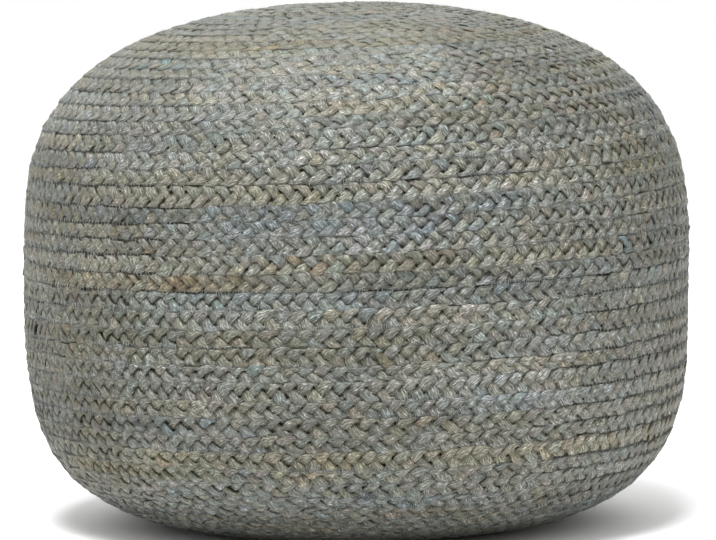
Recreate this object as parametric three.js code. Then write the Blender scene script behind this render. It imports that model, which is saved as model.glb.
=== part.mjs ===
// A round braided pouf, in millimetres: +Z up, the origin on the floor under the middle of the base,
// the front towards -Y.
//
// It is two filled shells. Each is one long plait, wound as a flat spiral from its pole outwards, course
// against course, and sewn along every turn. The crown shell is wound from the middle of the top. The
// base shell is made the same way, turned upside down, and pressed flat where it stands. They meet at
// the girth seam, half way up. The seam follows the last course round, so it drops by one course on
// its way from the right of the back to the left, and climbs again where both plaits end.
import * as THREE from "three";

const WIDTH = 450; // across the widest course
const HEIGHT = 352; // from the floor to the top of the crown
const WIDEST_LEVEL = 167; // how high the widest course lies
const GIRTH_LEVEL = HEIGHT / 2; // where the two shells are sewn together
const GIRTH_GAP = 0.3; // between the two shells
const SIDE_DEPTH = 171.5; // how far the side's curve would reach below the widest course, had it no floor

// The curve of the upper half is (r / R) ^ across + (h / crown height) ^ up = 1, and the lower half's is
// the same with its own powers. A power of 2 would make an ellipse, and a larger one a squarer corner.
const CROWN_POWERS = { across: 2.21, up: 3.4 };
const SIDE_POWERS = { across: 3.49, up: 3.55 };

const GIRTH_COURSE = 11.6; // width of the plait at the girth, which both shells share
const GROOVE_DEPTH = 2.2; // how far the sewn groove between two courses lies below their crests
const CROWN_TURNS = 28; // turns of plait from the middle of the top to the girth
const CROWN_EYE = 3; // how far from the middle of the top the plait's inner edge starts
const SIDE_TURNS = 21; // turns of plait that show between the flat base and the girth
const SIDE_INSET = 14; // how far inside the edge of the flat base those turns start

// The winding isn't quite true: courses climb from the left to the right, most on the crown's shoulder.
// The skew is how far a course at the right lies above where it would be, and at the left below it.
const SHOULDER_SKEW = 7;
const GIRTH_SKEW = 3.2;
const SKEW_EYE = 60; // over this length from the middle of the top the skew comes in
const SKEW_FALL = 45; // and over this length it falls from the shoulder's to the girth's

const COLUMNS = 48; // steps round one turn
const CURVE_SAMPLES = 3000; // points that stand for each half of the outline's curve

const JUTE = { color: "#7f8077", roughness: 0.95, metalness: 0 };

const TURN = 2 * Math.PI;

// The outline from the middle of the top, down the side and in to the middle of the base, as [r, z].
function outline() {
  const radius = WIDTH / 2;
  const crownHeight = HEIGHT - WIDEST_LEVEL;
  const points = [];
  for (let i = 0; i <= CURVE_SAMPLES; i++) {
    const t = (TURN / 4) * (1 - i / CURVE_SAMPLES);
    const r = radius * Math.cos(t) ** (2 / CROWN_POWERS.across);
    points.push([r, WIDEST_LEVEL + crownHeight * Math.sin(t) ** (2 / CROWN_POWERS.up)]);
  }
  for (let i = 1; i <= CURVE_SAMPLES; i++) {
    const t = (TURN / 4) * (i / CURVE_SAMPLES);
    const z = WIDEST_LEVEL - SIDE_DEPTH * Math.sin(t) ** (2 / SIDE_POWERS.up);
    if (z < 0) break;
    points.push([radius * Math.cos(t) ** (2 / SIDE_POWERS.across), z]);
  }
  points.push([points.at(-1)[0], 0], [0, 0]);
  return points;
}

// An outline that starts at a pole on top, measured along its length. `at` gives the point at a
// distance s from the pole and the way it faces, and `lengthTo` how far it is down to some level.
function measured(points) {
  const along = [0];
  for (let i = 1; i < points.length; i++) {
    const [r, z] = points[i];
    const [previousR, previousZ] = points[i - 1];
    along.push(along[i - 1] + Math.hypot(r - previousR, z - previousZ));
  }
  const at = (s) => {
    let [low, high] = [0, points.length - 1];
    while (high - low > 1) {
      const middle = (low + high) >> 1;
      if (along[middle] <= s) low = middle;
      else high = middle;
    }
    const share = (s - along[low]) / (along[high] - along[low]);
    const [dr, dz] = [points[high][0] - points[low][0], points[high][1] - points[low][1]];
    const length = Math.hypot(dr, dz);
    return {
      r: points[low][0] + dr * share,
      z: points[low][1] + dz * share,
      outR: -dz / length,
      outZ: dr / length,
    };
  };
  const lengthTo = (level) => {
    const below = points.findIndex(([, z]) => z < level);
    const [above, under] = [points[below - 1][1], points[below][1]];
    return along[below - 1] + ((along[below] - along[below - 1]) * (above - level)) / (above - under);
  };
  return { at, lengthTo };
}

// From 0 to 1, with a level start and a level end.
function ease(share) {
  const t = Math.min(1, Math.max(0, share));
  return t * t * (3 - 2 * t);
}

// A filled shell with its pole up and its girth round the origin. The plait lies between the groove
// at one turn and the groove a turn later, with its crest half way. `start` is how far along the
// curve it begins, and `flat` how far from the pole the shell is pressed flat, with no grooves.
// `skewAt` is the skew at each distance along the curve.
function coiledShell({ curve, flat, start, turns, skewAt }) {
  const girth = curve.lengthTo(0);
  const end = girth - GIRTH_GAP / 2 + GIRTH_COURSE / 2;
  const firstCourse = (2 * (end - start)) / (turns + 1) - GIRTH_COURSE;
  const growth = (GIRTH_COURSE - firstCourse) / (turns + 1);
  const grooveAt = (turn) => start + firstCourse * turn + (growth * turn ** 2) / 2;
  const crestAt = (turn) => (grooveAt(turn) + grooveAt(turn + 1)) / 2;

  // The winding goes outwards and to the left of the front, and ends in the middle of the back.
  const positions = [];
  const vertex = (turn, s, depth) => {
    const angle = TURN / 2 + (turns - turn) * TURN;
    const { r, z, outR, outZ } = curve.at(s - skewAt(s) * Math.sin(angle));
    const out = r - outR * depth;
    positions.push(out * Math.sin(angle), -out * Math.cos(angle), z - outZ * depth);
    return positions.length / 3 - 1;
  };
  const sunk = (s) => GROOVE_DEPTH * Math.min(1, Math.max(0, (s - flat) / GIRTH_COURSE));

  const last = turns * COLUMNS; // the column where the plait ends
  const grooves = [];
  const crests = [];
  for (let i = 0; i < last + COLUMNS; i++) {
    const turn = (i + 0.5) / COLUMNS;
    const s = grooveAt(turn);
    grooves.push(vertex(turn, s, sunk(s)));
    if (i < last) crests.push(vertex(turn, crestAt(turn), 0));
  }

  const faces = [];
  for (let i = 0; i < last - 1; i++) {
    const [a, b] = [grooves[i], grooves[i + 1]];
    const [c, d] = [crests[i], crests[i + 1]];
    const [e, f] = [grooves[i + COLUMNS], grooves[i + 1 + COLUMNS]];
    faces.push([a, b, d], [a, d, c], [c, d, f], [c, f, e]);
  }
  // Both ends of the plait taper away over one column.
  const inner = grooves.slice(0, COLUMNS);
  const outer = grooves.slice(last);
  const [firstCrest, lastCrest] = [crests[0], crests[last - 1]];
  faces.push([inner[0], firstCrest, inner.at(-1)]);
  faces.push([firstCrest, grooves[COLUMNS], inner.at(-1)]);
  faces.push([grooves[last - 1], outer[0], lastCrest]);
  faces.push([lastCrest, outer[0], outer.at(-1)]);

  const pole = vertex(0, 0, 0);
  inner.forEach((corner, i) => faces.push([pole, inner[(i + 1) % COLUMNS], corner]));
  const middle = positions.push(0, 0, GIRTH_GAP / 2) / 3 - 1;
  outer.forEach((corner, i) => faces.push([middle, corner, outer[(i + 1) % COLUMNS]]));

  const geometry = new THREE.BufferGeometry();
  geometry.setAttribute("position", new THREE.Float32BufferAttribute(positions, 3));
  geometry.setIndex(faces.flat());
  geometry.computeVertexNormals();
  return geometry;
}

function crownShell() {
  const curve = measured(outline().map(([r, z]) => [r, z - GIRTH_LEVEL]));
  const fallEnds = curve.lengthTo(0) - GIRTH_COURSE / 2;
  const skewAt = (s) => {
    const fallen = (SHOULDER_SKEW - GIRTH_SKEW) * ease((s - fallEnds + SKEW_FALL) / SKEW_FALL);
    return SHOULDER_SKEW * ease(s / SKEW_EYE) - fallen;
  };
  const geometry = coiledShell({ curve, flat: 0, start: CROWN_EYE, turns: CROWN_TURNS, skewAt });
  const mesh = new THREE.Mesh(geometry, new THREE.MeshStandardMaterial(JUTE));
  mesh.name = "crown_shell";
  return mesh;
}

// Made pole up, as the crown is, and then turned over.
function baseShell() {
  const poleUp = outline().map(([r, z]) => [r, GIRTH_LEVEL - z]);
  const curve = measured(poleUp.reverse());
  const flat = curve.lengthTo(GIRTH_LEVEL);
  const sideLength = curve.lengthTo(0) - GIRTH_COURSE / 2 - flat;
  const skewAt = (s) => GIRTH_SKEW * ease((s - flat) / sideLength);
  const start = flat - SIDE_INSET;
  const geometry = coiledShell({ curve, flat, start, turns: SIDE_TURNS, skewAt });
  const mesh = new THREE.Mesh(geometry, new THREE.MeshStandardMaterial(JUTE));
  mesh.name = "base_shell";
  mesh.rotation.y = TURN / 2;
  return mesh;
}

const pouf = new THREE.Group();
pouf.name = "pouf";
pouf.add(crownShell(), baseShell());
pouf.position.z = GIRTH_LEVEL;

export default pouf;
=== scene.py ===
"""The looks of a round plaited jute pouf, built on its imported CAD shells. Everything is in metres.

Each shell is one long three-strand plait, wound as a spiral and sewn course to course. The plait is
made strand by strand. Each strand is a flattened tube that goes over and under the other two.
"""

import math

import bpy
import numpy as np
from mathutils import Matrix, Vector


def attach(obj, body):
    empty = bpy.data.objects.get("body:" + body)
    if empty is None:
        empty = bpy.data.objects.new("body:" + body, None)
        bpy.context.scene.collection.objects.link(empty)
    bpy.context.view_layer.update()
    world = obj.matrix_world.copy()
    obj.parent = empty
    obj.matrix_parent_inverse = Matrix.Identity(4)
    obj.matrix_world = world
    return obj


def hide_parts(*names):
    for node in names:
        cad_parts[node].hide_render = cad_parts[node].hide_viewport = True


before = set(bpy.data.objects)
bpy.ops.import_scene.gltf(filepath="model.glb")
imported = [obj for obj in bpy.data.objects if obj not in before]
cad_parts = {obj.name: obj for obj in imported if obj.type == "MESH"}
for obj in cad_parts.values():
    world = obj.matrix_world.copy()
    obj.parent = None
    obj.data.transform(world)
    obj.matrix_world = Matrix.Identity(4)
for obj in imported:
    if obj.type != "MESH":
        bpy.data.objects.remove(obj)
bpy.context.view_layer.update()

TURN = 2 * math.pi
MM = 0.001

# The outline and the winding, as in part.mjs.
RADIUS = 225 * MM  # of the widest course
HEIGHT = 352 * MM
WIDEST_LEVEL = 167 * MM  # how high the widest course lies
GIRTH_LEVEL = HEIGHT / 2  # where the two shells are sewn together
SIDE_DEPTH = 171.5 * MM  # how far the side would reach below the widest course, had it no floor
CROWN_ACROSS, CROWN_UP = 2.21, 3.4  # the powers of the outline's upper curve
SIDE_ACROSS, SIDE_UP = 3.49, 3.55  # and of its lower one
GIRTH_COURSE = 11.6 * MM  # width of the plait at the girth
GIRTH_GAP = 0.3 * MM  # between the two shells
CROWN_EYE = 3 * MM  # so far from the middle of the top, the crown's turns begin to be counted
CROWN_TURNS = 28
SIDE_INSET = 14 * MM  # and so far inside the edge of the flat base, the base's turns
SIDE_TURNS = 21
SHOULDER_SKEW = 7 * MM  # how far a course has climbed at the right, and dropped at the left
GIRTH_SKEW = 3.2 * MM  # and how far at the girth
SKEW_EYE = 60 * MM  # over this length from the middle of the top the skew comes in
SKEW_FALL = 45 * MM  # and over this length it falls from the shoulder's to the girth's

# The plait. A strand's phase is 0 where it comes up through the middle of the plait, 90 degrees at
# one edge, 180 in the middle again and 270 at the other edge. It has a ring of vertices at each of
# these phases of every half turn. There its middle lies this share of half the course's width
# across, and this far up or down, as it rides over one strand and dives under the next.
STRANDS = "abc"
PERIOD = 33 * MM  # how far along the plait a strand's path repeats
RINGS = (0, 16, 35, 62, 93, 136)
ACROSS = np.array((0.0, 0.3, 0.62, 0.93, 0.97, 0.62))
RISES = np.array((0.6, 1.4, 1.9, 1.6, 0.8, -0.4)) * MM
HALF_WIDTHS = np.array((3.5, 4.0, 4.1, 3.9, 3.2, 3.1)) * MM
HALF_THICKNESSES = np.array((1.4, 1.5, 1.7, 1.8, 1.8, 1.6)) * MM
OFF_CENTRE = 0.04  # how far the middle of the plait lies towards the pole, of half its width
TILT = 0.03  # how steeply the plait stands out towards the girth
CREST_DEPTH = 3.4 * MM  # from the plait's middle to its crests

# Seeds. The first row is for whole parts. The second is added to a shell's seed for each kind of
# unevenness in it, and the third to a strand's.
BASE_SEED, STRAND_SEED, LUMP_SEED, HAIR_SEED, TICK_SEED = 50, 100, 6, 900, 950
STRETCH_SEED, STRAY_SEED, WAVER_SEED, LOOSE_SEED, PLAIT_DYE_SEED = 11, 13, 14, 15, 21
WIDTH_SEED, STRAND_DYE_SEED, SLACK_SEED, STITCH_DYE_SEED, ODD_SEED = 1, 2, 4, 7, 30


def new_object(name, mesh):
    piece = bpy.data.objects.new(name, mesh)
    bpy.context.scene.collection.objects.link(piece)
    return piece


def aim(thing, target, roll=0.0):
    """Points a camera or a light, which look along their own -Z, at a target."""
    way = Vector(target) - thing.location
    turned = way.to_track_quat("-Z", "Y").to_matrix() @ Matrix.Rotation(roll, 3, "Z")
    thing.rotation_euler = turned.to_euler()


# Camera, far off and a little above the girth.
CAMERA_DISTANCE = 3.4
CAMERA_ELEVATION = math.radians(4.8)
CAMERA_ROLL = math.radians(-0.5)
CAMERA_TARGET = Vector((0.0013, 0, 0.1708))
CAMERA_LENS, CAMERA_SENSOR = 252.35, 36  # in millimetres
CAMERA_REACH = 50  # how far it sees

camera_data = bpy.data.cameras.new("camera")
camera_data.lens = CAMERA_LENS
camera_data.sensor_width = CAMERA_SENSOR
camera_data.clip_end = CAMERA_REACH
camera = new_object("camera", camera_data)
back_off = Vector((0, -math.cos(CAMERA_ELEVATION), math.sin(CAMERA_ELEVATION)))
camera.location = CAMERA_TARGET + CAMERA_DISTANCE * back_off
aim(camera, CAMERA_TARGET, CAMERA_ROLL)
bpy.context.scene.camera = camera


def ease(share):
    """From 0 to 1, with a level start and a level end."""
    share = np.clip(share, 0, 1)
    return share * share * (3 - 2 * share)


def up_from(least, share):
    """From `least` to 1, as the share goes from 0 to 1."""
    return least + (1 - least) * share


def unit(vectors):
    """The same vectors, all of length 1."""
    return vectors / np.linalg.norm(vectors, axis=-1)[..., None]


NOISE_KNOTS = 4096
SWELL_WAVES = 20
SWELL_SPREAD = 0.7, 1.6  # how long the waves of a swell are, as shares of its wavelength


def value_noise(x, seed):
    """Smooth noise along x with a random value at each whole number."""
    knots = np.random.default_rng(seed).normal(size=NOISE_KNOTS)
    cell = np.floor(x).astype(int)
    share = ease(x - cell)
    return knots[cell % NOISE_KNOTS] * (1 - share) + knots[(cell + 1) % NOISE_KNOTS] * share


def swell(points, wavelength, seed):
    """Smooth noise through space, as a sum of waves."""
    rng = np.random.default_rng(seed)
    ways = unit(rng.normal(size=(SWELL_WAVES, 3)))
    ways *= (TURN / (wavelength * rng.uniform(*SWELL_SPREAD, SWELL_WAVES)))[:, None]
    phases = rng.uniform(0, TURN, SWELL_WAVES)
    return np.sin(points @ ways.T + phases).sum(-1) * math.sqrt(2 / SWELL_WAVES)


CURVE_POINTS, FLAT_POINTS = 6001, 400  # of each of the outline's two curves, and of the flat base


def outline():
    """The outline from the middle of the top, down the side and in to the middle of the base."""
    t = np.linspace(0, TURN / 4, CURVE_POINTS)
    crown_r = RADIUS * np.cos(t) ** (2 / CROWN_ACROSS)
    crown_z = WIDEST_LEVEL + (HEIGHT - WIDEST_LEVEL) * np.sin(t) ** (2 / CROWN_UP)
    side_r = RADIUS * np.cos(t) ** (2 / SIDE_ACROSS)
    side_z = WIDEST_LEVEL - SIDE_DEPTH * np.sin(t) ** (2 / SIDE_UP)
    above = side_z > 0
    flat_r = np.linspace(side_r[above][-1], 0, FLAT_POINTS)
    r = np.concatenate([crown_r[::-1], side_r[above][1:], flat_r])
    z = np.concatenate([crown_z[::-1], side_z[above][1:], 0 * flat_r])
    return r, z


def within(shell, turn, run, soft):
    """1 where a turn is inside a run of the winding and 0 outside it, softened over `soft` degrees.

    A run is a shell, its first and last course, and from where to where in degrees to the right of
    the front.
    """
    name, first, last, start, end = run
    if name != shell.name:
        return 0 * turn
    course = np.floor(turn)
    bearing = 360 * (course + 0.5 - turn) * (-1 if shell.turned_over else 1)
    inside = ease((bearing - start) / soft) * ease((end - bearing) / soft)
    return inside * (course >= first) * (course <= last)


# How far past the edge of the flat base the plait begins to clear the floor, and is clear of it.
FLOOR_START, FLOOR_END = 28 * MM, 70 * MM
SEAT_PRESS = 0.9  # how much of its freedom the plait has lost on top
SEAT_START, SEAT_END = 122 * MM, 228 * MM  # from the middle of the top, where it gets that back
# Where it has been squeezed flat from the side: the shell, the first and last course, from where to
# where in degrees to the right of the front, and how much of its freedom it has lost.
SQUEEZED = (
    ("crown", 0, 28, -100, -36, 0.6),
    ("crown", 6, 20, -60, 10, 0.25),
    ("base", 0, 21, -100, -46, 0.65),
    ("crown", 14, 28, 60, 100, 0.35),
    ("base", 0, 21, 32, 110, 0.6),
)
SQUEEZE_SOFT = 18  # degrees over which the plait is let go at either end

STEPS_PER_TURN = 240
SAME_PLACE = 1e-7  # points of the outline that are closer than this are one
# How much longer or shorter the weave gets along the plait, and over what length.
STRETCHES = ((0.05, 110 * MM), (0.03, 900 * MM))
STRAY, STRAYS_PER_TURN = 0.9 * MM, 4.5  # how far a seam strays, and its noise's knots in a turn
STRAY_START, STRAY_END = 3, 2  # in so many turns that comes in at the pole and dies at the girth
WAVER, WAVER_LENGTH = 0.4 * MM, 18 * MM  # how far a seam wavers, and over what length
WAVER_END, WAVER_SOFT = 0.9, 0.5  # where in the last turn that has died, and over how much of it
LUMPS = ((0.5 * MM, 140 * MM), (0.3 * MM, 50 * MM))  # how high, and over what length


class Shell:
    """One shell with its pole up and its girth round the origin, and where its plait runs."""

    def __init__(self, name, r, z, turned_over, start, turns, first_turn, last_turn, flat=0.0):
        self.name = name
        self.turned_over = turned_over
        self.turns = turns
        self.flat = flat
        self.seed = BASE_SEED if turned_over else 0
        keep = np.append(True, np.hypot(np.diff(r), np.diff(z)) > SAME_PLACE)
        self.r, self.z = r[keep], z[keep]
        self.s = np.append(0, np.cumsum(np.hypot(np.diff(self.r), np.diff(self.z))))
        out_r, out_z = -np.gradient(self.z, self.s), np.gradient(self.r, self.s)
        length = np.hypot(out_r, out_z)
        self.out_r, self.out_z = out_r / length, out_z / length
        self.girth = float(np.interp(0, -self.z, self.s))
        end = self.girth - GIRTH_GAP / 2 + GIRTH_COURSE / 2
        self.start = start
        # The plait's width at turn 0, and how much it grows in a turn.
        self.first = 2 * (end - start) / (turns + 1) - GIRTH_COURSE
        self.growth = (GIRTH_COURSE - self.first) / (turns + 1)
        # How far along the plait, and how far on in its weave, each turn is.
        self.turn = np.arange(first_turn, last_turn, 1 / STEPS_PER_TURN)
        middle = self.middle(self.turn)
        radius = np.interp(np.abs(middle), self.s, self.r)
        step = np.hypot(np.gradient(self.turn) * TURN * radius, np.gradient(middle))
        self.along = np.cumsum(step)
        stretch = 1
        for number, (amount, over) in enumerate(STRETCHES):
            seed = self.seed + STRETCH_SEED + number
            stretch = stretch + amount * value_noise(self.along / over, seed)
        self.phase = np.cumsum(step * TURN / (PERIOD * stretch))

    def groove(self, turn):
        """How far along the curve the seam at this turn lies. It strays, but not at the girth."""
        stray = STRAY * value_noise(np.asarray(turn) * STRAYS_PER_TURN, self.seed + STRAY_SEED)
        stray = stray * ease(turn / STRAY_START) * ease((self.turns - turn) / STRAY_END)
        return self.start + self.first * turn + self.growth * turn**2 / 2 + stray

    def seam(self, turn):
        """The same with its small wavers, which the strands on both sides follow."""
        s = self.groove(turn)
        waver = WAVER * swell(self.place(turn, s, 0 * s), WAVER_LENGTH, self.seed + WAVER_SEED)
        return s + waver * ease((self.turns + WAVER_END - turn) / WAVER_SOFT)

    def middle(self, turn):
        """How far along the curve the middle of the plait lies."""
        return (self.groove(turn) + self.groove(turn + 1)) / 2

    def half(self, turn):
        """Half the plait's width."""
        return (self.groove(turn + 1) - self.groove(turn)) / 2

    def skew(self, s):
        """How far the courses at s have climbed at the right of the front."""
        end = self.girth - GIRTH_COURSE / 2
        if self.turned_over:
            return GIRTH_SKEW * ease((s - self.flat) / (end - self.flat))
        fallen = (SHOULDER_SKEW - GIRTH_SKEW) * ease((s - end + SKEW_FALL) / SKEW_FALL)
        return SHOULDER_SKEW * ease(s / SKEW_EYE) - fallen

    def clear(self, s):
        """1 where the plait is clear of the floor and the seat, and less where they press on it."""
        if self.turned_over:
            return ease((s - self.flat - FLOOR_START) / (FLOOR_END - FLOOR_START))
        return 1 - SEAT_PRESS * (1 - ease((s - SEAT_START) / (SEAT_END - SEAT_START)))

    def freedom(self, turn, s):
        """1 where the plait is free, and less where it has been pressed flat."""
        free = self.clear(s)
        for *run, amount in SQUEEZED:
            free = free * (1 - amount * within(self, turn, run, SQUEEZE_SOFT))
        return free

    def place(self, turn, s, out):
        """The point at s along the curve, `out` proud of it, as x, y, z of the pouf.

        Where s is below 0 it lies beyond the pole.
        """
        angle = TURN / 2 + (self.turns - turn) * TURN
        s = s - self.skew(s) * np.sin(angle)
        beyond = np.where(s < 0, -1, 1)
        s = np.abs(s)
        r = np.interp(s, self.s, self.r) + np.interp(s, self.s, self.out_r) * out
        r = r * beyond
        z = np.interp(s, self.s, self.z) + np.interp(s, self.s, self.out_z) * out
        x, y = r * np.sin(angle), -r * np.cos(angle)
        if self.turned_over:
            x, z = -x, -z
        return np.stack([x, y, z + GIRTH_LEVEL], -1)

    def uneven(self, turn, s, out):
        """The same, on the pouf as it is after sewing and use: a little lumpy."""
        points = self.place(turn, s, 0 * s)
        lift = 0
        for number, (height, wavelength) in enumerate(LUMPS):
            lift = lift + height * swell(points, wavelength, LUMP_SEED + number)
        return self.place(turn, s, out + lift * self.freedom(turn, s))


FLOOR_SOFT = 0.35 * MM  # about how near the floor a point is when it starts to be kept off it


def above_floor(points, lift=0.0):
    """Keeps points above the floor, so gently that none end up level, and lifts them by `lift`."""
    kept = points.copy()
    kept[..., 2] = FLOOR_SOFT * np.logaddexp(0, points[..., 2] / FLOOR_SOFT) + lift
    return kept


# Both plaits start near their poles, before the first turn that is counted.
CROWN_FIRST_TURN = -1.5
BASE_FIRST_TURN = -11.0
# At the back the crown's plait ends tucked in under the base's. How far on each goes, in turns.
CROWN_TUCKED = 0.025
BASE_TUCKED = 0.014
LEVEL_ENOUGH = 1e-9  # points this near the floor's level are on it

outline_r, outline_z = outline()
crown = Shell(
    "crown",
    outline_r,
    outline_z - GIRTH_LEVEL,
    turned_over=False,
    start=CROWN_EYE,
    turns=CROWN_TURNS,
    first_turn=CROWN_FIRST_TURN,
    last_turn=CROWN_TURNS + CROWN_TUCKED,
)
outline_r, outline_z = outline_r[::-1], GIRTH_LEVEL - outline_z[::-1]
flat_radius = float(outline_r[outline_z > GIRTH_LEVEL - LEVEL_ENOUGH].max())
base = Shell(
    "base",
    outline_r,
    outline_z,
    turned_over=True,
    start=flat_radius - SIDE_INSET,
    turns=SIDE_TURNS,
    first_turn=BASE_FIRST_TURN,
    last_turn=SIDE_TURNS + BASE_TUCKED,
    flat=flat_radius,
)
SHELLS = (crown, base)

PRESSED = 0.45  # how thick the plait is where it is pressed flat, as a share of its free thickness
PRESSED_WIDER = 0.16  # and how much wider its strands are there
TUCK_DEPTH = 4 * MM
TUCK_START = 14 * MM  # over this length a plait's start goes in
CROWN_TUCK, BASE_TUCK = 34 * MM, 12 * MM  # and over these lengths the two plaits' ends


def pressed(freedom):
    """How thick the plait is at this freedom, as a share of its free thickness."""
    return up_from(PRESSED, freedom)


def end_tuck(shell, turn):
    """How deep the plait is tucked in near its two ends."""
    tuck = BASE_TUCK if shell.turned_over else CROWN_TUCK
    along = np.interp(turn, shell.turn, shell.along)
    from_start = np.clip(1 - along / TUCK_START, 0, 1)
    to_end = np.clip(1 - (shell.along[-1] - along) / tuck, 0, 1)
    return TUCK_DEPTH * np.maximum(from_start**2, to_end)


OPEN_SEAM = 0.95 * MM  # how much further each side of an open seam stands back
OPEN_DROP = 0.8 * MM  # and how much lower the plait lies along it
# Open seams, which show as thin dark lines: the shell, the first and last of them, from where to
# where in degrees to the right of the front, and how open they are. Each seam is on the pole's side
# of the course it is numbered by.
OPEN_SEAMS = (
    ("crown", 28, 28, -200, 200, 0.5),
    ("base", 21, 21, -200, 200, 0.5),
    ("crown", 28, 28, -90, -20, 1.0),
    ("crown", 28, 28, 45, 90, 1.0),
    ("crown", 28, 28, -6, 26, 0.95),
    ("crown", 22, 27, -110, -22, 1.0),
    ("crown", 24, 27, -110, -26, 1.4),
    ("crown", 16, 21, -110, -38, 0.9),
    ("crown", 8, 15, -110, -30, 0.6),
    ("crown", 24, 27, 40, 110, 0.5),
    ("base", 8, 20, -110, -48, 0.6),
    ("base", 8, 20, 30, 110, 1.15),
)
OPEN_SOFT = 15  # degrees over which one opens and shuts
LOOSE_SEAM = 0.5  # how far any seam may open in places
LOOSE_PER_TURN, LOOSE_ABOVE = 5, 0.4  # that noise's knots in a turn, and how high it is there


def openness(shell, turn):
    """How open the seam is at each turn, from 0 where it is shut to 1, and a little more."""
    noise = value_noise(turn * LOOSE_PER_TURN, shell.seed + LOOSE_SEED)
    wanted = LOOSE_SEAM * ease(noise - LOOSE_ABOVE)
    for *run, amount in OPEN_SEAMS:
        wanted = np.maximum(wanted, amount * within(shell, turn, run, OPEN_SOFT))
    return wanted


SEAM_OVERLAP = 0.7 * MM  # how far a strand may reach over a shut seam
SEAM_UNEVEN = 0.4 * MM  # and how much that differs from stitch to stitch
SEAM_SOFT = 0.4 * MM  # how rounded it ends there


def soft_excess(over):
    """How much of this is above nothing, with a rounded corner."""
    return SEAM_SOFT * np.logaddexp(0, over / SEAM_SOFT)


def past_seams(shell, turn, s, gap):
    """How far points of a course lie past where its seams stop them: below 0 towards the pole."""
    inner = shell.seam(turn) + gap + OPEN_SEAM * openness(shell, turn)
    outer = shell.seam(turn + 1) - gap - OPEN_SEAM * openness(shell, turn + 1)
    return soft_excess(s - outer[:, None]) - soft_excess(inner[:, None] - s)


def weave(shell, lag):
    """The rings of a strand that is `lag` behind in the weave, and which stitch each is in."""
    first = math.ceil((shell.phase[0] - lag) / math.pi)
    last = math.floor((shell.phase[-1] - lag) / math.pi)
    half_turn = np.append(np.repeat(np.arange(first, last), len(RINGS)), last)
    kind = np.append(np.tile(np.arange(len(RINGS)), last - first), 0)
    phase = half_turn * math.pi + np.radians(RINGS)[kind]
    # The last ring of each stitch is hidden, and already belongs to the next one.
    stitch = half_turn - first + (kind == len(RINGS) - 1)
    return {
        "shell": shell,
        "along": np.interp(phase + lag, shell.phase, shell.along),
        "turn": np.interp(phase + lag, shell.phase, shell.turn),
        "kind": kind,
        "sign": np.where(half_turn % 2, -1, 1),
        "stitch": stitch,
        "count": last - first + 2,
    }


# The corners of a strand's section, from one edge over its top to the other. Its underside is flat.
CORNERS = np.radians((-32, 35, 90, 145, 212))
SIDES = len(CORNERS)
SQUARE_ACROSS, SQUARE_UP = 0.7, 0.8  # powers below 1 make it squarer than an ellipse
SECTION_X = np.sign(np.cos(CORNERS)) * np.abs(np.cos(CORNERS)) ** SQUARE_ACROSS
SECTION_Y = np.sign(np.sin(CORNERS)) * np.abs(np.sin(CORNERS)) ** SQUARE_UP

# How unevenly the plait is worked. Stitches differ from each other by:
LIFT_UNEVEN = 0.3 * MM  # how high they lie
SHIFT_UNEVEN = 0.055  # how far across they lie, as a share of half the course
ROLL_UNEVEN = math.radians(9)
WIDTH_UNEVEN, THICKNESS_UNEVEN, RIDGE_UNEVEN = 0.08, 0.1, 0.09  # shares of their sizes
# Rings differ within a stitch, in the same shares.
RING_SHIFT_UNEVEN, RING_RIDGE_UNEVEN = 0.035, 0.05
# Along the strand all lifts change by this share over this length, and so do all widths.
SLACK, SLACK_LENGTH = 0.3, 60 * MM
WIDTH_DRIFT, WIDTH_LENGTH = 0.07, 70 * MM
PRESSED_ROLL = 0.3  # how much of its roll a stitch keeps where it is pressed flat


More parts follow.
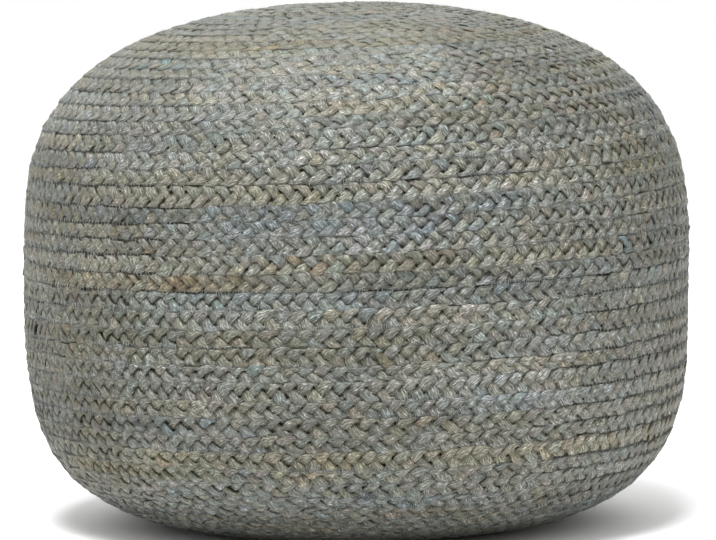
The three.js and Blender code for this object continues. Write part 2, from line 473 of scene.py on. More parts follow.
def strand(shell, number):
    """One strand of a shell's plait as rings of vertices, with what its material needs."""
    seed = STRAND_SEED * (number + 1) + shell.seed
    rng = np.random.default_rng(seed)
    rings = weave(shell, number * TURN / len(STRANDS))
    along, turn, kind = rings["along"], rings["turn"], rings["kind"]
    stitch, count = rings["stitch"], rings["count"]
    # How it is worked.
    slack = 1 + SLACK * value_noise(along / SLACK_LENGTH, seed + SLACK_SEED)
    lift = rng.normal(0, LIFT_UNEVEN, count)[stitch] * slack
    shift = rng.normal(0, SHIFT_UNEVEN, count)[stitch]
    shift = shift + rng.normal(0, RING_SHIFT_UNEVEN, len(stitch))
    roll = rng.normal(0, ROLL_UNEVEN, count)[stitch]
    wide = 1 + rng.normal(0, WIDTH_UNEVEN, count)[stitch]
    thick = 1 + rng.normal(0, THICKNESS_UNEVEN, count)[stitch]
    wide = wide * (1 + WIDTH_DRIFT * value_noise(along / WIDTH_LENGTH, seed + WIDTH_SEED))

    # Its path, with the way it runs, its side and its top.
    across = rings["sign"] * ACROSS[kind] - OFF_CENTRE * (1 - ACROSS[kind] ** 2) + shift
    half = shell.half(turn)
    s = shell.middle(turn) + half * across
    freedom = shell.freedom(turn, s)
    press = pressed(freedom)
    out = (RISES[kind] + TILT * across * half + lift - CREST_DEPTH) * press
    drop = openness(shell, turn) * ease(-across) + openness(shell, turn + 1) * ease(across)
    out = out - end_tuck(shell, turn) - OPEN_DROP * drop
    middle = shell.uneven(turn, s, out)
    way = unit(np.gradient(middle, axis=0))
    up = shell.place(turn, s, out + MM) - shell.place(turn, s, out)
    side = unit(np.cross(way, up))
    up = np.cross(side, way)
    roll = roll * up_from(PRESSED_ROLL, freedom)
    lean, upright = np.sin(roll)[:, None], np.cos(roll)[:, None]
    side, up = side * upright + up * lean, up * upright - side * lean

    # Its section. The fibres lie in bundles, which make ridges along the strand.
    half_width = HALF_WIDTHS[kind] * wide * (1 + PRESSED_WIDER * (1 - freedom))
    half_thickness = HALF_THICKNESSES[kind] * thick * press
    ridges = RIDGE_UNEVEN * rng.normal(size=(count, SIDES))[stitch]
    ridges = 1 + (ridges + RING_RIDGE_UNEVEN * rng.normal(size=(len(stitch), SIDES)))
    reach = (half_width[:, None] * SECTION_X * ridges)[..., None] * side[:, None]
    reach = reach + (half_thickness[:, None] * SECTION_Y * ridges)[..., None] * up[:, None]
    # The sewing presses a strand against its neighbour across the seam, so it stops there.
    outwards = unit(shell.place(turn, s + MM, out) - shell.place(turn, s - MM, out))
    gap = rng.normal(-SEAM_OVERLAP, SEAM_UNEVEN, count)[stitch]
    corner_s = (reach * outwards[:, None]).sum(-1) + s[:, None]
    over = past_seams(shell, turn, corner_s, gap)
    points = middle[:, None] + reach - over[..., None] * outwards[:, None]
    return {
        **rings,
        "seed": seed,
        "points": above_floor(points),
        "length": np.append(0, np.cumsum(np.linalg.norm(np.diff(middle, axis=0), axis=1))),
        "freedom": freedom,
        "clear": shell.clear(s),
        "way": way,
        "up": up,
    }


XYZ_WHITE = 0.9505, 1.0, 1.089
XYZ_TO_RGB = np.array(
    ((3.2406, -1.5372, -0.4986), (-0.9689, 1.8758, 0.0415), (0.0557, -0.204, 1.057))
)
DARKEST = 0.004


def linear_from_lab(lab):
    """CIE Lab under D65 to linear sRGB."""
    f = (lab[..., 0] + 16) / 116
    f = np.stack([f + lab[..., 1] / 500, f, f - lab[..., 2] / 200], -1)
    xyz = np.where(f > 6 / 29, f**3, (f - 4 / 29) * 3 * (6 / 29) ** 2) * XYZ_WHITE
    return np.clip(xyz @ XYZ_TO_RGB.T, DARKEST, 1)


# The dye, as lightness, red and yellow in Lab.
JUTE_LAB = np.array((38.9, -2.25, 5.5))
STITCH_DYE = np.array((1.2, 0.7, 1.1))  # how much it differs from stitch to stitch
# How it drifts along the plait, and along each strand: over what length, and how far.
PLAIT_DRIFTS = (
    (340 * MM, (0.0, 0.0, 0.7)),
    (110 * MM, (0.0, 0.15, 0.9)),
    (180 * MM, (1.2, 0.0, 0.0)),
)
STRAND_DRIFTS = (
    (50 * MM, (0.9, 0.0, 0.0)),
    (50 * MM, (0.0, 0.35, 1.2)),
)
# How much lighter a strand is painted at each of its rings: painted shade, darker where it is down
# in the weave in the creases between stitches, a little lighter on its crest.
PAINTED_CREASE_SHADE = np.array((-5.5, -1.5, 0.5, 1.0, -1.0, -5.5))
PAINTED_FLANK_SHADE = np.array((-8.0, 0.8, 1.2, 0.8, -8.0))  # and at each corner round it: painted shade on its two flanks, in the creases between strands
PRESSED_SHADE = 0.4  # how much of that painted shade is left where the plait is pressed flat
BASE_MORE_SHADE = 1.3  # and how many times as much painted shade the base has, which faces down, away from the light
SHADE_YELLOW = 0.2  # how much yellower the painted shade is, for each step darker
CORNER_UNEVEN = 1.5  # how much its lightness differs from corner to corner
# Odd strands: how rare, and how far off in Lab.
ODD_DYES = (
    (2.3, (-1.0, 2.2, 4.6)),
    (2.4, (-6.0, 2.6, 4.0)),
    (2.5, (-1.0, -2.5, -4.0)),
    (2.6, (-1.0, 1.0, -4.0)),
)
ODD_LENGTH = 2.2  # of a knot of their noise, in stitches
ODD_SHIFT = 0.31  # from one odd dye's noise to the next one's
ODD_SOFT = 0.25  # over so much of the noise a strand turns odd

# Runs of strand whose colour is off: the shell, the first and last course, from where to where in
# degrees to the right of the front, and how far off in Lab. A few of them are painted shade or
# painted light, as marked.
COLOUR_AND_SHADE_RUNS = (
    ("crown", 27, 27, -68, -12, (-2.5, 0.5, 3.6)),
    ("crown", 27, 27, 15, 60, (-3.0, 0.2, -1.2)),
    ("crown", 26, 26, -55, 35, (0.0, 0.0, 1.8)),
    ("crown", 25, 25, -32, 15, (0.0, 0.0, -1.8)),
    ("crown", 24, 24, -70, -36, (0.0, 0.0, 2.4)),
    ("crown", 24, 24, -26, 22, (0.0, 0.0, -2.0)),
    ("crown", 23, 23, -68, -32, (-4.5, 0.2, 0.6)),
    ("crown", 23, 23, -26, 30, (-1.0, 0.0, -2.6)),
    ("crown", 22, 22, -60, -4, (-0.8, 0.0, 1.4)),
    ("crown", 23, 25, -50, 2, (-2.4, 0.0, 0.0)),
    # Painted shadow: these stitches at the front of the girth seam are painted darker, as shadowed.
    ("crown", 26, 27, -6, 22, (-5.0, 0.0, -0.8)),
    ("crown", 22, 22, 34, 70, (-1.0, 0.0, 2.4)),
    ("crown", 26, 26, 18, 52, (0.0, -0.2, 2.0)),
    ("crown", 16, 16, 8, 44, (0.0, 0.0, 1.8)),
    ("crown", 20, 27, 48, 88, (-4.8, 0.0, 1.4)),
    ("crown", 17, 21, 60, 95, (-1.6, 0.0, -1.8)),
    ("crown", 16, 19, -95, -55, (2.6, 0.0, -0.6)),
    ("crown", 27, 27, -36, -24, (-4.0, 3.2, 2.6)),
    ("crown", 18, 18, 5, 60, (-2.0, 0.3, 3.0)),
    ("crown", 17, 17, -70, 0, (0.0, 0.0, -1.4)),
    ("crown", 9, 19, 18, 85, (-4.6, 0.2, 0.0)),
    ("crown", 12, 16, -40, 30, (2.8, 0.0, -0.9)),
    ("crown", 17, 19, -50, 25, (-2.0, 0.0, 0.0)),
    ("crown", 0, 8, -200, 200, (-1.4, 0.0, -0.8)),
    # Darker at the left flank: partly a dark run of dye, partly painted shade.
    ("crown", 20, 27, -100, -50, (-3.4, 0.0, 0.8)),
    ("crown", 8, 10, 0, 70, (0.0, 0.3, 1.0)),
    ("base", 20, 20, -35, 42, (0.0, -0.3, -1.6)),
    # Painted shadow: these stitches at the front of the girth seam are painted darker, as shadowed.
    ("base", 20, 20, -4, 14, (-3.0, 0.0, 0.0)),
    ("base", 15, 19, 12, 42, (2.2, 0.0, -0.9)),
    ("base", 9, 14, 26, 58, (1.8, 0.0, 0.0)),
    ("base", 20, 20, -70, -35, (-3.0, 0.5, 0.0)),
    ("base", 17, 17, -45, 20, (-1.0, 0.0, 1.2)),
    ("base", 12, 18, -85, 14, (-3.3, 0.1, 0.5)),
    ("base", 14, 14, -15, 60, (-0.5, 0.2, -1.2)),
    ("base", 11, 11, -46, 58, (0.8, 0.0, 3.6)),
    ("base", 10, 10, -70, -22, (0.5, -0.3, 4.4)),
    # Painted light: the lowest courses all round are painted lighter, against the shade near the
    # floor.
    ("base", -11, 5, -200, 200, (3.0, 0.0, 0.0)),
    ("base", 10, 10, -20, 25, (0.0, 0.0, 2.0)),
    ("base", 8, 8, -30, 36, (0.0, 0.1, -1.6)),
    # Darker at the left flank: partly a dark run of dye, partly painted shade.
    ("base", 9, 17, -95, -42, (-5.2, -0.1, 2.0)),
    ("base", 18, 21, -98, -62, (-2.6, -0.1, 1.0)),
    ("base", 18, 21, -68, -34, (-5.2, -0.1, 1.4)),
    ("base", 13, 15, -58, -28, (-2.4, 0.0, 0.6)),
    ("base", 9, 20, 60, 90, (-3.0, -0.1, 1.8)),
)
RUN_SOFT = 8  # degrees over which one begins and ends


def run_offsets(rings):
    """How far the runs move each ring's colour: runs of odd colour, painted shade and painted light.
    """
    total = np.zeros((len(rings["turn"]), 3))
    for *run, off in COLOUR_AND_SHADE_RUNS:
        total += within(rings["shell"], rings["turn"], run, RUN_SOFT)[:, None] * np.array(off)
    return total


def drift(along, drifts, seed):
    """The sum of these drifts of the dye, each with a seed of its own."""
    total = np.zeros((len(along), 3))
    for number, (length, off) in enumerate(drifts):
        total += value_noise(along / length, seed + number)[:, None] * np.array(off)
    return total


def dye(rings):
    """The colour at each corner of each ring: it differs by stitch, and in runs along the plait,
    with painted shade in the creases and on the strands' flanks.
    """
    shell, seed, stitch = rings["shell"], rings["seed"], rings["stitch"]
    rng = np.random.default_rng(seed + STITCH_DYE_SEED)
    light, yellow, red = rng.normal(size=(rings["count"], 3))[stitch].T
    lab = JUTE_LAB + STITCH_DYE * np.stack([light, red, yellow], -1) + run_offsets(rings)
    lab += drift(rings["along"], PLAIT_DRIFTS, shell.seed + PLAIT_DYE_SEED)
    lab += drift(rings["along"], STRAND_DRIFTS, seed + STRAND_DYE_SEED)
    for number, (rare, off) in enumerate(ODD_DYES):
        odd = value_noise(stitch / ODD_LENGTH + ODD_SHIFT * number, seed + ODD_SEED + number)
        lab += np.clip((odd - rare) / ODD_SOFT, 0, 1)[:, None] * np.array(off)
    # Painted shade, darker in the creases and on the flanks: less of it where the plait is pressed
    # flat, and more on the base.
    shaded = up_from(PRESSED_SHADE, rings["freedom"])
    if shell.turned_over:
        shaded = shaded * BASE_MORE_SHADE
    lab = np.repeat(lab[:, None], SIDES, axis=1)
    painted_shade = (PAINTED_CREASE_SHADE[rings["kind"]][:, None] + PAINTED_FLANK_SHADE) * shaded[:, None]
    lab[..., 0] += painted_shade + rng.normal(0, CORNER_UNEVEN, lab.shape[:2])
    lab[..., 2] -= SHADE_YELLOW * painted_shade
    return linear_from_lab(lab)


def mesh_of_faces(name, points, faces):
    """A smooth mesh. All its faces have the same number of corners."""
    mesh = bpy.data.meshes.new(name)
    mesh.vertices.add(len(points))
    mesh.vertices.foreach_set("co", points.ravel().astype(np.float32))
    mesh.loops.add(faces.size)
    mesh.loops.foreach_set("vertex_index", faces.ravel().astype(np.int32))
    mesh.polygons.add(len(faces))
    starts = np.arange(0, faces.size, faces.shape[1], dtype=np.int32)
    mesh.polygons.foreach_set("loop_start", starts)
    mesh.update(calc_edges=True)
    mesh.shade_smooth()
    return mesh


def uv_map(mesh, name, places):
    """A UV map with a place for each corner of each face."""
    layer = mesh.uv_layers.new(name=name)
    layer.uv.foreach_set("vector", places.ravel().astype(np.float32))


def colour_attribute(mesh, colour, streaky=1.0):
    """The colour with any painted shade in it, and in its alpha how streaky the fibres are."""
    colour = np.concatenate([colour, np.broadcast_to(streaky, len(colour))[:, None]], 1)
    attribute = mesh.attributes.new("dye", "FLOAT_COLOR", "POINT")
    attribute.data.foreach_set("color", colour.ravel().astype(np.float32))


AROUND = np.array((0, 0.2, 0.38, 0.56, 0.76, 1.0))  # how far round a strand each corner is, of 1
BAKE_ROWS = 40
BAKE_MARGIN = 0.04  # above and below a row, of its height
PRESSED_STREAKY = 0.52  # how streaky the fibres are where the seat or the floor presses on them


def strand_piece(name, rings, first, last):
    """A mesh of the rings from first to last."""
    points = rings["points"][first:last]
    count = len(points)
    i, j = np.meshgrid(np.arange(count - 1), np.arange(SIDES), indexing="ij")
    i, j = i.ravel(), j.ravel()
    k = (j + 1) % SIDES
    quads = np.stack([i * SIDES + j, (i + 1) * SIDES + j, (i + 1) * SIDES + k, i * SIDES + k], 1)
    mesh = mesh_of_faces(name, points.reshape(-1, 3), quads)

    ring = np.stack([i, i + 1, i + 1, i], 1)
    around = np.stack([j, j, j + 1, j + 1], 1)
    length = rings["length"][first:last]
    uv_map(mesh, "fibre", np.stack([length[ring], AROUND[around]], -1))
    # The bake's own map: the strand cut into rows.
    per_row = math.ceil((count - 1) / BAKE_ROWS)
    row = (i // per_row)[:, None]
    u = (ring - row * per_row) / per_row
    v = (row + BAKE_MARGIN + (1 - 2 * BAKE_MARGIN) * AROUND[around]) / BAKE_ROWS
    uv_map(mesh, "OFBake", np.stack([u, v], -1))
    streaky = up_from(PRESSED_STREAKY, rings["clear"][first:last])
    colour_attribute(mesh, dye(rings)[first:last].reshape(-1, 3), np.repeat(streaky, SIDES))
    return new_object(name, mesh)


ODD_WAY = 0.31, 0.22, 0.93  # any way will do that no thread runs along


def three_across(way):
    """Three unit vectors across each way, evenly spaced round it."""
    side = unit(np.cross(way, ODD_WAY))
    up = np.cross(side, way)
    angles = TURN * np.arange(3)[:, None] / 3
    return np.cos(angles) * side[..., None, :] + np.sin(angles) * up[..., None, :]


def threads(name, paths, radius, colour):
    """A mesh of many short threads, three-sided and closed. Each path is a row of points."""
    count, steps = paths.shape[:2]
    ring = three_across(unit(np.gradient(paths, axis=1)))
    points = paths[:, :, None] + ring * radius[:, :, None, None]
    # The faces of one thread: its sides, and its two ends.
    one = []
    for i in range(steps - 1):
        for j in range(3):
            a, b = 3 * i + j, 3 * i + (j + 1) % 3
            one += [(a, b, b + 3), (a, b + 3, a + 3)]
    one += [(2, 1, 0), (3 * steps - 3, 3 * steps - 2, 3 * steps - 1)]
    faces = (np.arange(count)[:, None, None] * 3 * steps + np.array(one)).reshape(-1, 3)
    mesh = mesh_of_faces(name, points.reshape(-1, 3), faces)
    colour_attribute(mesh, np.repeat(colour, 3 * steps, axis=0))
    return new_object(name, mesh)


def hairs(name, begin, end, radius, colour):
    """A mesh of many short hairs, each three-sided and closed, and tapering to a point."""
    ring = three_across(unit(end - begin))
    points = np.concatenate([begin[:, None] + radius[:, None, None] * ring, end[:, None]], 1)
    # The faces of one hair: its sides, and the end that is in the strand.
    one = np.array(((0, 1, 3), (1, 2, 3), (2, 0, 3), (2, 1, 0)))
    faces = (np.arange(len(begin))[:, None, None] * 4 + one).reshape(-1, 3)
    mesh = mesh_of_faces(name, points.reshape(-1, 3), faces)
    colour_attribute(mesh, np.repeat(colour, 4, axis=0))
    return new_object(name, mesh)


def feed(tree, socket, value):
    """Gives a socket a value, or links it where the value is another node's output."""
    if isinstance(value, bpy.types.NodeSocket):
        tree.links.new(value, socket)
    else:
        socket.default_value = value


def node(tree, kind, **inputs):
    """A shader node with these inputs."""
    made = tree.nodes.new(kind)
    for name, value in inputs.items():
        feed(tree, made.inputs[name.replace("_", " ")], value)
    return made


def maths(tree, kind, operation, *values):
    """The output of a Math or Vector Math node with these inputs."""
    made = tree.nodes.new(kind)
    made.operation = operation
    for socket, value in zip([s for s in made.inputs if s.enabled], values):
        feed(tree, socket, value)
    return made.outputs[0]


def new_material(name):
    material = bpy.data.materials.new(name)
    material.use_nodes = True
    tree = material.node_tree
    tree.nodes.clear()
    shader = tree.nodes.new("ShaderNodeBsdfPrincipled")
    out = tree.nodes.new("ShaderNodeOutputMaterial")
    tree.links.new(shader.outputs[0], out.inputs[0])
    return material, tree, shader


FIBRE_TWIST = 11.0  # turns round the strand in a metre
# Streaks: how many in a metre of strand and in once round it, and how finely they are broken up.
FINE_STREAKS = 320.0, 28.0, 2.0
COARSE_STREAKS = 80.0, 12.0, 1.0
COARSE_SHIFT = 9.0  # keeps the coarse streaks' noise away from the fine ones'
STREAK_ROUGHNESS = 0.6
FINE_SHADE, COARSE_SHADE = 6.2, 1.6  # how strongly each darkens and lightens the dye
STREAK_BLUE = 1.16  # how much more strongly they do so to blue
STREAK_HEIGHT = 0.6 * MM  # of a fine streak
COARSE_HEIGHT = 1.6  # how many times as high a coarse one is
JUTE_ROUGHNESS, ROUGHER = 0.4, 0.3  # the least, and how much a coarse streak adds


def jute_material():
    """Dyed jute: fine streaks along the strand, slightly twisted round it, over its uneven colour
    with the painted shade of the creases.
    """
    material, tree, shader = new_material("jute")
    uv = tree.nodes.new("ShaderNodeUVMap")
    uv.uv_map = "fibre"
    split = node(tree, "ShaderNodeSeparateXYZ", Vector=uv.outputs[0])
    along, around = split.outputs[0], split.outputs[1]

    def math_node(operation, *values):
        return maths(tree, "ShaderNodeMath", operation, *values)

    twisted = math_node("MULTIPLY_ADD", along, FIBRE_TWIST, around)

    def streaks(per_metre, per_round, detail, shift):
        x = math_node("MULTIPLY", along, per_metre)
        y = math_node("MULTIPLY", twisted, per_round)
        place = node(tree, "ShaderNodeCombineXYZ", X=x, Y=y, Z=shift).outputs[0]
        noise = node(
            tree,
            "ShaderNodeTexNoise",
            Vector=place,
            Scale=1.0,
            Detail=detail,
            Roughness=STREAK_ROUGHNESS,
        )
        return noise.outputs[0]

    fine = streaks(*FINE_STREAKS, 0.0)
    coarse = streaks(*COARSE_STREAKS, COARSE_SHIFT)
    dye_and_shade = tree.nodes.new("ShaderNodeAttribute")
    dye_and_shade.attribute_name = "dye"
    # The noise is about a half on average, which leaves the dye as it is.
    fine_shade = math_node("MULTIPLY_ADD", fine, FINE_SHADE, -FINE_SHADE / 2)
    coarse_shade = math_node("MULTIPLY_ADD", coarse, COARSE_SHADE, -COARSE_SHADE / 2)
    shade = math_node("ADD", fine_shade, coarse_shade)
    shade = math_node("EXPONENT", math_node("MULTIPLY", shade, dye_and_shade.outputs["Alpha"]))
    # Where a streak is darker it is a little yellower too.
    bluer = math_node("POWER", shade, STREAK_BLUE)
    tint = node(tree, "ShaderNodeCombineXYZ", X=shade, Y=shade, Z=bluer).outputs[0]
    scaled = maths(tree, "ShaderNodeVectorMath", "MULTIPLY", dye_and_shade.outputs["Color"], tint)
    tree.links.new(scaled, shader.inputs["Base Color"])
    height = math_node("MULTIPLY_ADD", coarse, COARSE_HEIGHT, fine)
    bump = node(tree, "ShaderNodeBump", Height=height, Distance=STREAK_HEIGHT, Strength=1.0)
    tree.links.new(bump.outputs[0], shader.inputs["Normal"])
    rough = math_node("MULTIPLY_ADD", coarse, ROUGHER, JUTE_ROUGHNESS)
    tree.links.new(rough, shader.inputs["Roughness"])
    shader.inputs["Specular IOR Level"].default_value = 0.5
    return material


def dyed_material(name, roughness):
    """Plain fibre in the colour of its dye."""
    material, tree, shader = new_material(name)
    dye_and_shade = tree.nodes.new("ShaderNodeAttribute")
    dye_and_shade.attribute_name = "dye"
    tree.links.new(dye_and_shade.outputs[0], shader.inputs["Base Color"])
    shader.inputs["Roughness"].default_value = roughness
    return material


def plain_material(name, colour, roughness):
    material, _, shader = new_material(name)
    shader.inputs["Base Color"].default_value = (*colour, 1)
    shader.inputs["Roughness"].default_value = roughness
    return material


jute = jute_material()
backing = plain_material("plait_back", colour=(0.1, 0.097, 0.068), roughness=0.9)
thread_material = dyed_material("sewing_thread", roughness=0.6)
fibre_material = dyed_material("loose_fibres", roughness=0.5)


def belongs(piece, shell, material):
    """Makes a piece part of the pouf, in place of its shell."""
    piece.data.materials.append(material)
    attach(piece, "root")
    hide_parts(f"{shell.name}_shell")


# Loose fibres. Some are long and lie along the strand. The rest are short, and point anywhere.
HAIRS = 36000  # places tried on each shell
HAIR_RADII = 0.07 * MM, 0.14 * MM
HAIR_SUNK = 0.25 * MM  # how deep in the strand they start
PRESSED_HAIRS = 0.3  # how many of them are left where the seat or the floor presses on them
END_RINGS = 8  # with none on this many rings at a strand's ends
UPPER_RINGS = 1, 2, 3  # and of each stitch only on these, near its crest
LONG_SHARE = 0.35
LONG_HAIRS, SHORT_HAIRS = (3 * MM, 9 * MM), (1.2 * MM, 3.2 * MM)
LONG_DRIFT, SHORT_DRIFT = 0.5, 3.0  # how far sideways they head, for each step along the strand
LONG_RISE, SHORT_RISE, LEAST_RISE = 0.14, 0.3, 0.03  # and how far up
HAIR_LIGHTNESS = 38, 78
HAIR_RED, HAIR_RED_UNEVEN = -1.5, 0.7
HAIR_YELLOW, HAIR_YELLOW_UNEVEN = 5, 2


def loose_fibres(shell, strands):
    """Hairs that stand a little off the strands."""
    rng = np.random.default_rng(HAIR_SEED + shell.seed)
    begins, ends, colours = [], [], []
    for rings in strands:
        here = rng.integers(END_RINGS, len(rings["points"]) - END_RINGS, HAIRS // len(strands))
        here = here[np.isin(rings["kind"][here], UPPER_RINGS)]
        here = here[rng.random(len(here)) < up_from(PRESSED_HAIRS, rings["clear"][here])]
        count = len(here)
        corner = rng.integers(1, SIDES - 1, count)
        start = rings["points"][here, corner]
        way, up = rings["way"][here], rings["up"][here]
        side = np.cross(way, up)
        long = (rng.random(count) < LONG_SHARE)[:, None]
        size = rng.uniform(0, 1, count)[:, None]
        long_length = np.interp(size, (0, 1), LONG_HAIRS)
        length = np.where(long, long_length, np.interp(size, (0, 1), SHORT_HAIRS))
        sideways = rng.normal(size=count)[:, None] * np.where(long, LONG_DRIFT, SHORT_DRIFT)
        heading = unit(way * rng.choice((-1, 1), count)[:, None] + side * sideways)
        rise = np.abs(rng.normal(size=count))[:, None] * np.where(long, LONG_RISE, SHORT_RISE)
        begins.append(start - HAIR_SUNK * up)
        ends.append(start + length * (heading + (rise + LEAST_RISE) * up))
        light = rng.uniform(*HAIR_LIGHTNESS, count)
        red = rng.normal(HAIR_RED, HAIR_RED_UNEVEN, count)
        yellow = rng.normal(HAIR_YELLOW, HAIR_YELLOW_UNEVEN, count)
        colours.append(linear_from_lab(np.stack([light, red, yellow], -1)))
    begin = above_floor(np.concatenate(begins), HAIR_RADII[1])
    end = above_floor(np.concatenate(ends), HAIR_RADII[1])
    radius = rng.uniform(*HAIR_RADII, len(begin))
    return hairs(f"{shell.name}_loose_fibres", begin, end, radius, np.concatenate(colours))


# Whip stitches over the seams, as short ticks of thread.
TICK_STEPS = 720  # per turn, in which the seam is measured
CROWN_FIRST_TICK, BASE_FIRST_TICK = 1.5, 0.5  # the turns at which they start
TICK_SPACING = 1.65 * MM
TICK_UNEVEN = 0.25 * MM  # how far each lies off its place, both along the seam and across it
TICK_SLANT = 0.35 * MM  # how far its ends lie to either side along the seam
TICK_REACH, REACH_UNEVEN = 2.1 * MM, (0.7, 1.3)  # how far it reaches to each side of the seam
TIGHT_REACH = 0.6  # the share of that where the thread is tight
TICK_PATH = ((-1, -0.3 * MM), (0, 0.3 * MM), (1, -0.3 * MM))  # its arch across the seam
TICK_SUNK, TICK_SUNK_UNEVEN = 0.6 * MM, 0.12 * MM  # how deep it lies where the thread is tight
LOOSE_LIFT = 0.5 * MM  # and how much less deep where it is loose
GAP_SUNK = 0.8  # how far it sinks into an open seam, as a share of how far the plait drops there
TICK_RUN = 50 * MM  # length of the noise that says where ticks show, and where they are loose
SHOW_ABOVE = -0.1  # they show above this value of it
LOOSE_FROM, LOOSE_OVER = -0.3, 1.3  # and get loose from this value on, over so much of it
# Seams that are more open than this show every second tick, all along, with at least this noise.
GAPING, GAPING_RUN = 0.5, 0.3
THREAD_RADII = 0.22 * MM, 0.32 * MM
THREAD_LAB, THREAD_LIGHT_UNEVEN = (46, -2.2, 3.5), 5
LOOSE_BLUER = 3.5  # how much less yellow the thread is where it is loose
THREAD_TINT, TINT_LENGTH = 1.2, 120 * MM  # how far its yellow drifts, and over what length
TICK_RUN_SEED, TINT_SEED = 1, 2


def seam_stitches(shell):
    """Whip stitches over the seams, which show in runs."""
    seed = TICK_SEED + shell.seed
    rng = np.random.default_rng(seed)
    first_turn = BASE_FIRST_TICK if shell.turned_over else CROWN_FIRST_TICK
    last_turn = shell.turns + (0 if shell.turned_over else 1)
    turn = np.arange(first_turn, last_turn, 1 / TICK_STEPS)
    radius = np.interp(shell.groove(turn), shell.s, shell.r)
    along = np.cumsum(radius * TURN / TICK_STEPS)
    # Where they are along the seam, and which of them show.
    places = np.arange(0, along[-1], TICK_SPACING)
    places += rng.normal(0, TICK_UNEVEN, len(places))
    run = value_noise(places / TICK_RUN, seed + TICK_RUN_SEED)
    gap = openness(shell, np.interp(places, along, turn))
    gaping = gap > GAPING
    shown = np.where(gaping, np.arange(len(places)) % 2 == 0, run > SHOW_ABOVE)
    run = np.where(gaping, np.maximum(run, GAPING_RUN), run)
    places, run, gap = places[shown], run[shown], gap[shown]
    turn = np.interp(places, along, turn)
    count = len(turn)
    # How each lies.
    s = shell.groove(turn) + rng.normal(0, TICK_UNEVEN, count)
    slant = rng.normal(0, TICK_SLANT, count) / (TURN * np.interp(s, shell.s, shell.r))
    loose = ease((run - LOOSE_FROM) / LOOSE_OVER) * shell.clear(s)
    sunk = rng.normal(0, TICK_SUNK_UNEVEN, count) + LOOSE_LIFT * loose - TICK_SUNK
    sunk -= GAP_SUNK * OPEN_DROP * gap
    reach = TICK_REACH * up_from(TIGHT_REACH, loose) * rng.uniform(*REACH_UNEVEN, count)
    press = pressed(shell.freedom(turn, s))
    points = [
        shell.uneven(turn + slant * across, s + reach * across, (out + sunk) * press)
        for across, out in TICK_PATH
    ]
    radius = rng.uniform(*THREAD_RADII, count)[:, None]
    paths = above_floor(np.stack(points, 1), radius)
    # The thread's colour.
    light, red, yellow = THREAD_LAB
    light = light + THREAD_LIGHT_UNEVEN * rng.normal(size=count)
    tint = THREAD_TINT * value_noise(places / TINT_LENGTH, seed + TINT_SEED)
    lab = np.stack([light, np.full(count, red), yellow - LOOSE_BLUER * loose + tint], -1)
    return threads(f"{shell.name}_seam_stitches", paths, radius, linear_from_lab(lab))


def plait(shell):
    """A shell's strands, each in two pieces, with their loose fibres and the stitches on them."""
    strands = [strand(shell, number) for number in range(len(STRANDS))]
    for rings, letter in zip(strands, STRANDS):
        total = len(rings["points"])
        half_way = total // 2
        for part, first, last in ((1, 0, half_way + 1), (2, half_way, total)):
            piece = strand_piece(f"{shell.name}_strand_{letter}{part}", rings, first, last)
            belongs(piece, shell, jute)
    belongs(loose_fibres(shell, strands), shell, fibre_material)
    belongs(seam_stitches(shell), shell, thread_material)


BACK_STEPS, BACK_COLUMNS = 30, 64  # from the pole to the girth, and round it
BACK_DEPTH = 0.3 * MM  # how far the back lies below the plait's middle
BACK_GAP = 0.2 * MM  # and how far it ends from the girth's level


def plait_back(shell):
    """What shows between the strands: the plait's own back, over the filling."""
    s = np.linspace(0, shell.girth, BACK_STEPS + 1)[1:]
    turn, s = np.meshgrid(np.arange(BACK_COLUMNS) / BACK_COLUMNS, s)
    depth = (CREST_DEPTH + BACK_DEPTH) * pressed(shell.freedom(turn, s))
    points = shell.place(turn.ravel(), s.ravel(), -depth.ravel())
    tip = shell.place(np.zeros(1), np.zeros(1), -depth[:1, 0])
    seam = GIRTH_LEVEL + (-BACK_GAP if shell.turned_over else BACK_GAP)
    points[-BACK_COLUMNS:, 2] = seam
    last_row = (BACK_STEPS - 1) * BACK_COLUMNS
    tip_corner, middle_corner = len(points), len(points) + 1
    faces = []
    for i in range(BACK_COLUMNS):
        k = (i + 1) % BACK_COLUMNS
        for row in range(0, last_row, BACK_COLUMNS):
            below = row + BACK_COLUMNS
            faces.append((row + i, row + k, below + k, below + i))
        faces.append((tip_corner, k, i))
        faces.append((middle_corner, last_row + i, last_row + k))
    mesh = bpy.data.meshes.new(f"{shell.name}_plait_back")
    mesh.from_pydata(np.concatenate([points, tip, [[0, 0, seam]]]).tolist(), [], faces)
    mesh.update()
    mesh.shade_smooth()
    return new_object(mesh.name, mesh)


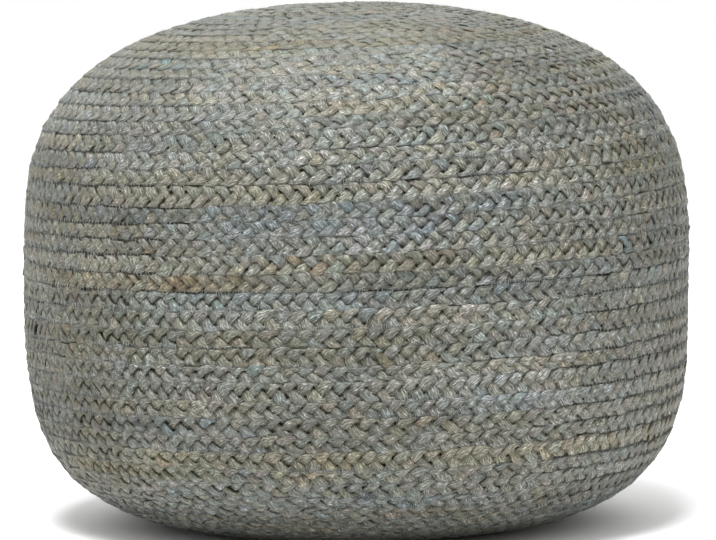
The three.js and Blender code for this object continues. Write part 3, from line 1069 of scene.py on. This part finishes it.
for shell in SHELLS:
    plait(shell)
for shell in SHELLS:
    piece = plait_back(shell)
    belongs(piece, shell, backing)

# Floor, world and lights.
FLOOR_HALF = 8  # from the middle to each edge

mesh = bpy.data.meshes.new("floor")
corners = [(x * FLOOR_HALF, y * FLOOR_HALF, 0) for x, y in ((-1, -1), (1, -1), (1, 1), (-1, 1))]
mesh.from_pydata(corners, [], [(0, 1, 2, 3)])
floor = new_object("floor", mesh)
mesh.materials.append(plain_material("floor", colour=(0.9, 0.9, 0.9), roughness=0.9))

# White behind the pouf, duller in front of it, and brighter overhead, as under a large soft box.
FRONT_BRIGHTNESS, BEHIND_BRIGHTNESS = 0.42, 1.0
BEHIND_START, BEHIND_END = 0.55, 0.95  # how far towards +Y the one turns into the other
OVERHEAD_BRIGHTER = 1.0  # straight up

world = bpy.data.worlds.new("world")
bpy.context.scene.world = world
world.use_nodes = True
sky_tree = world.node_tree
sky = sky_tree.nodes["Background"]
sky.inputs["Color"].default_value = (1, 1, 1, 1)
heading = sky_tree.nodes.new("ShaderNodeTexCoord").outputs["Generated"]
split = node(sky_tree, "ShaderNodeSeparateXYZ", Vector=heading)
upwards = maths(sky_tree, "ShaderNodeMath", "MAXIMUM", split.outputs["Z"], 0.0)
backdrop = node(
    sky_tree,
    "ShaderNodeMapRange",
    Value=split.outputs["Y"],
    From_Min=BEHIND_START,
    From_Max=BEHIND_END,
    To_Min=FRONT_BRIGHTNESS,
    To_Max=BEHIND_BRIGHTNESS,
)
backdrop.interpolation_type = "SMOOTHSTEP"
brightness = maths(
    sky_tree, "ShaderNodeMath", "MULTIPLY_ADD", upwards, OVERHEAD_BRIGHTER, backdrop.outputs[0]
)
sky_tree.links.new(brightness, sky.inputs["Strength"])


def soft_light(name, place, target, size, power):
    """A square light that points at the target."""
    data = bpy.data.lights.new(name, "AREA")
    data.size = size
    data.energy = power
    light = new_object(name, data)
    light.location = place
    aim(light, target)


soft_light("overhead", place=(-0.3, -1.35, 3.0), target=(0, 0, 0.2), size=1.3, power=165)

bpy.context.scene.view_settings.view_transform = "Standard"
